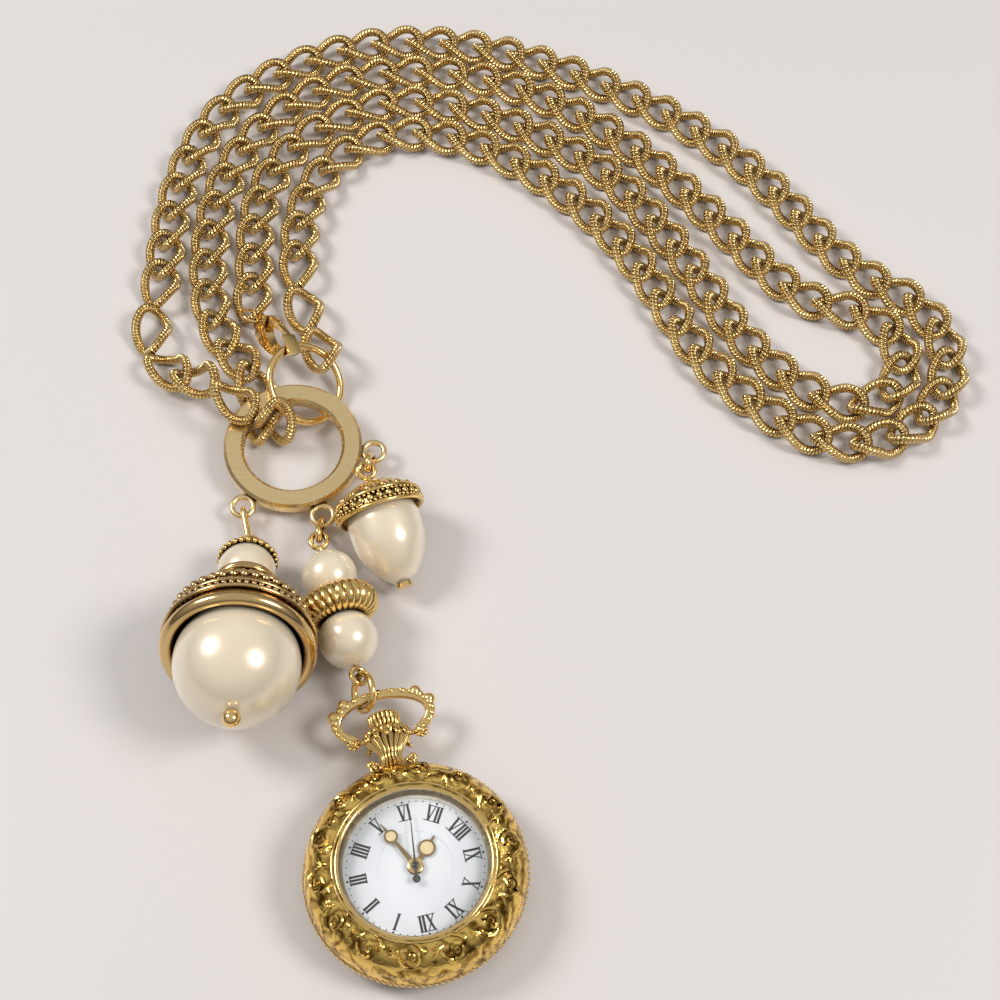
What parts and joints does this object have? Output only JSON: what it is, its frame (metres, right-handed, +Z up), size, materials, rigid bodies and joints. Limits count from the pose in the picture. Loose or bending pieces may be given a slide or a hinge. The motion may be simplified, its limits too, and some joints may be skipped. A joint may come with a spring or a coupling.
{
  "type": "pendant watch",
  "caption": "Pendant watch with pearl charms on a long folded link chain; a bell, a drop and a bar hang from a carrier ring, and the hands, crown, bow and clasp move.",
  "frame": {"origin": "centre of the case back's flat rest face, on the table", "axes": "+Z up out of the table, +Y along the table from the watch towards the chain, +X to the right"},
  "size_m": [0.1247, 0.1597, 0.02],
  "materials": {
    "gold": "polished gold plate",
    "hand_gold": "polished gold plate",
    "pearl": "pearlescent coat",
    "steel": "brushed",
    "seal": "matte",
    "crystal": "clear",
    "dial": "satin white",
    "holder": "moulded",
    "movement_brass": "machined",
    "movement_plastic": "moulded",
    "board": "coated",
    "can": "plated",
    "winding": "enamelled copper wire",
    "magnet": "ground"
  },
  "bodies": {
    "chain": {"chain_outer_strand": "gold", "chain_second_strand": "gold", "chain_third_strand": "gold", "chain_inner_strand": "gold", "carrier_ring": "gold", "clasp_ring": "gold", "clasp_jump_ring": "gold", "clasp_body": "gold", "clasp_pin": "steel"},
    "clasp_gate": {"clasp_lever": "gold"},
    "bell_shackle": {"bell_link": "gold"},
    "bell": {"bell_pin": "gold", "bell_bead_cap": "gold", "bell_bead": "pearl", "bell_cap": "gold", "bell_pearl": "pearl"},
    "drop_shackle": {"drop_link": "gold"},
    "drop": {"drop_pin": "gold", "drop_cap": "gold", "drop_pearl": "pearl"},
    "bar_shackle": {"bar_link": "gold"},
    "bar": {"bar_pin": "gold", "bar_upper_pearl": "pearl", "bar_rondelle": "gold", "bar_lower_pearl": "pearl"},
    "watch_jump": {"watch_jump_ring": "gold"},
    "bow": {"bow": "gold"},
    "watch": {"neck": "gold", "case_middle": "gold", "bezel": "gold", "case_back": "steel", "back_gasket": "seal", "crystal": "crystal", "crystal_gasket": "seal", "rehaut_ring": "gold", "dial": "dial", "movement_ring": "holder", "main_plate": "movement_brass", "train_bridge": "movement_brass", "circuit_board": "board", "quartz_can": "can", "coil": "winding", "stator": "steel", "battery": "can", "battery_clamp": "steel", "movement_screws": "steel"},
    "setting": {"setting_lever": "steel"},
    "crown": {"stem": "steel", "crown": "gold"},
    "seconds": {"seconds_wheel": "movement_brass", "seconds_hand": "hand_gold"},
    "third": {"third_wheel": "movement_brass"},
    "centre": {"centre_wheel": "movement_brass", "minute_hand": "hand_gold"},
    "minute_work": {"minute_wheel": "movement_plastic"},
    "hour": {"hour_wheel": "movement_plastic", "hour_hand": "hand_gold"},
    "step": {"step_wheel": "movement_plastic"},
    "rotor": {"rotor": "magnet"}
  },
  "joints": [
    {"name": "clasp_gate_turn", "type": "hinge", "parent": "chain", "child": "clasp_gate", "pos_m": [-0.02409, 0.08382, 0.00488], "axis": [0.8202, 0.3445, -0.4568], "range_deg": [0, 16], "stiffness_Nm_per_rad": 0.004, "springref_deg": -17.19},
    {"name": "bell_shackle_swing", "type": "hinge", "parent": "chain", "child": "bell_shackle", "pos_m": [-0.0254, 0.05214, 0.0024], "axis": [-0.9752, -0.2215, 0], "range_deg": [0, 30]},
    {"name": "bell_swing", "type": "hinge", "parent": "bell_shackle", "child": "bell", "pos_m": [-0.02467, 0.04892, 0.00194], "axis": [-0.999, -0.0436, 0], "range_deg": [0, 40]},
    {"name": "drop_shackle_swing", "type": "hinge", "parent": "chain", "child": "drop_shackle", "pos_m": [-0.00777, 0.06117, 0.00247], "axis": [-0.9998, 0.0189, 0], "range_deg": [0, 30]},
    {"name": "drop_swing", "type": "hinge", "parent": "drop_shackle", "child": "drop", "pos_m": [-0.00784, 0.05757, 0.00777], "axis": [-0.9426, -0.3338, 0], "range_deg": [0, 40]},
    {"name": "bar_shackle_swing", "type": "hinge", "parent": "chain", "child": "bar_shackle", "pos_m": [-0.01447, 0.05104, 0.0018], "axis": [-0.9999, -0.0167, 0], "range_deg": [0, 20]},
    {"name": "bar_swing", "type": "hinge", "parent": "bar_shackle", "child": "bar", "pos_m": [-0.01441, 0.04762, 0.00552], "axis": [-0.9542, -0.2991, 0], "range_deg": [0, 8]},
    {"name": "watch_jump_turn", "type": "hinge", "parent": "bar", "child": "watch_jump", "pos_m": [-0.00809, 0.02636, 0.00509], "axis": [-0.4806, -0.1378, -0.866], "range_deg": [0, 15]},
    {"name": "bow_turn", "type": "hinge", "parent": "watch_jump", "child": "bow", "pos_m": [-0.00705, 0.02296, 0.00536], "axis": [-0.9744, -0.225, 0], "range_deg": [0, 12]},
    {"name": "watch_swing", "type": "hinge", "parent": "bow", "child": "watch", "pos_m": [-0.00416, 0.01803, 0.0042], "axis": [-0.9744, -0.225, 0], "range_deg": [0, 80]},
    {"name": "crown_pull", "type": "slide", "parent": "watch", "child": "setting", "axis": [-0.225, 0.9744, 0], "range_m": [0, 0.0003]},
    {"name": "crown_turn", "type": "hinge", "parent": "setting", "child": "crown", "pos_m": [-0.00441, 0.0191, 0.0042], "axis": [-0.225, 0.9744, 0], "continuous": true},
    {"name": "seconds_spin", "type": "hinge", "parent": "watch", "child": "seconds", "pos_m": [0, 0, 0.00415], "axis": [0, 0, -1], "continuous": true},
    {"name": "third_spin", "type": "hinge", "parent": "watch", "child": "third", "pos_m": [-0.00136, 0.00174, 0.00415], "axis": [0, 0, -1], "continuous": true},
    {"name": "centre_spin", "type": "hinge", "parent": "watch", "child": "centre", "pos_m": [0, 0, 0.00415], "axis": [0, 0, -1], "continuous": true},
    {"name": "minute_work_spin", "type": "hinge", "parent": "watch", "child": "minute_work", "pos_m": [0.00164, -0.00176, 0.00415], "axis": [0, 0, -1], "continuous": true},
    {"name": "hour_spin", "type": "hinge", "parent": "watch", "child": "hour", "pos_m": [0, 0, 0.00415], "axis": [0, 0, -1], "continuous": true},
    {"name": "step_spin", "type": "hinge", "parent": "watch", "child": "step", "pos_m": [0.00188, 0.00122, 0.00415], "axis": [0, 0, -1], "continuous": true},
    {"name": "rotor_spin", "type": "hinge", "parent": "watch", "child": "rotor", "pos_m": [0.00371, 0.00066, 0.00415], "axis": [0, 0, -1], "continuous": true}
  ],
  "couplings": [
    {"joint": "third_spin", "follows": "seconds_spin", "ratio": -0.13333},
    {"joint": "centre_spin", "follows": "seconds_spin", "ratio": 0.016667},
    {"joint": "minute_work_spin", "follows": "seconds_spin", "ratio": -0.0055556},
    {"joint": "hour_spin", "follows": "seconds_spin", "ratio": 0.0013889},
    {"joint": "step_spin", "follows": "seconds_spin", "ratio": -6},
    {"joint": "rotor_spin", "follows": "seconds_spin", "ratio": 30}
  ]
}
